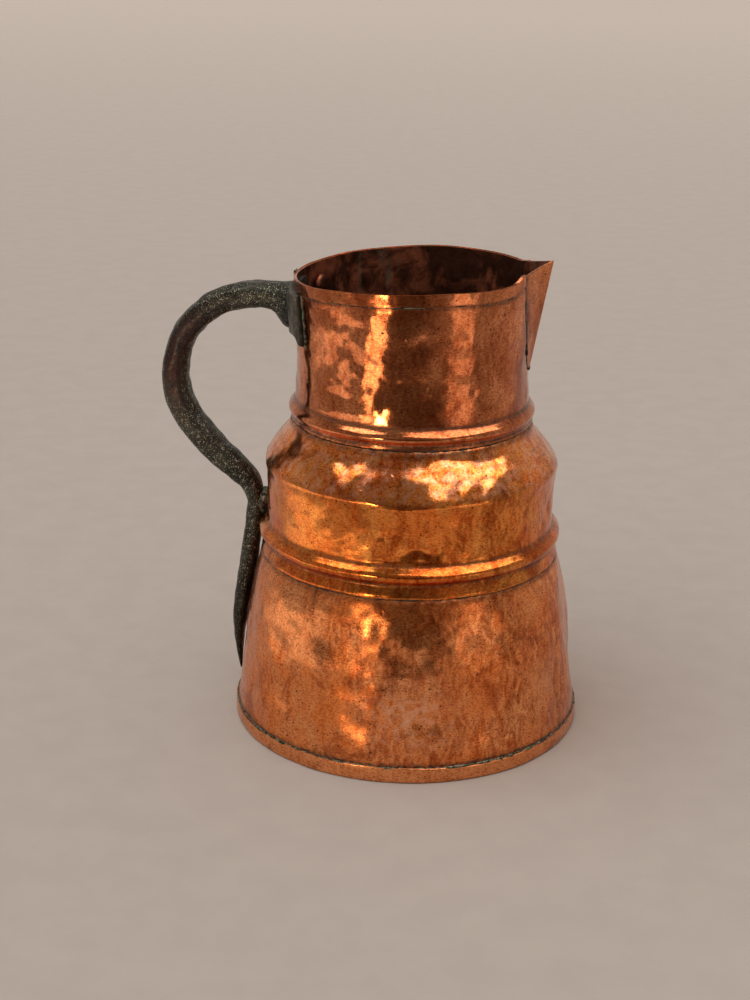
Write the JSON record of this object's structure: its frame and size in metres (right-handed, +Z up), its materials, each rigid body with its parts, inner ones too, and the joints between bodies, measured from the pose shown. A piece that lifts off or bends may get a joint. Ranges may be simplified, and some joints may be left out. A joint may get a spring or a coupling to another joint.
{
  "type": "pitcher",
  "caption": "Hammered copper pitcher with a flared skirt, sloping shoulder, straight neck with a folded beak, and a forged bar handle on a palm plate.",
  "frame": {"origin": "centre of the flat underside of the base pan, on the jug's axis, at the surface it stands on", "axes": "+Z up along the jug's axis; +X towards the spout; -X towards the handle; the handle and the spout's keel lie in the plane Y = 0"},
  "size_m": [0.2417, 0.199, 0.268],
  "materials": {
    "copper": "hammered sheet copper, worn semi-polished, heat mottled and oxidised dark brown inside",
    "forged_bar": "forged, rusted and waxed, dark grey-green with pale flecks, satin",
    "palm_metal": "forged plate wiped with dull grey solder",
    "rivet_copper": "peened copper rivets, tarnished",
    "soft_solder": "dull tin-lead solder with verdigris",
    "seam_brass": "hard-soldered cramped seam, filed flush"
  },
  "bodies": {
    "root": {"base_pan": "copper", "skirt": "copper", "middle_course": "copper", "neck": "copper", "rim_band": "copper", "spout": "copper", "handle_bar": "forged_bar", "handle_palm": "palm_metal", "palm_rivets": "rivet_copper", "tail_braze": "soft_solder", "palm_solder": "soft_solder", "foot_solder": "soft_solder", "waist_solder": "soft_solder", "neck_solder": "soft_solder", "rim_solder": "soft_solder", "spout_solder": "soft_solder", "skirt_seam": "seam_brass", "middle_seam": "seam_brass", "neck_seam": "seam_brass"}
  },
  "joints": []
}
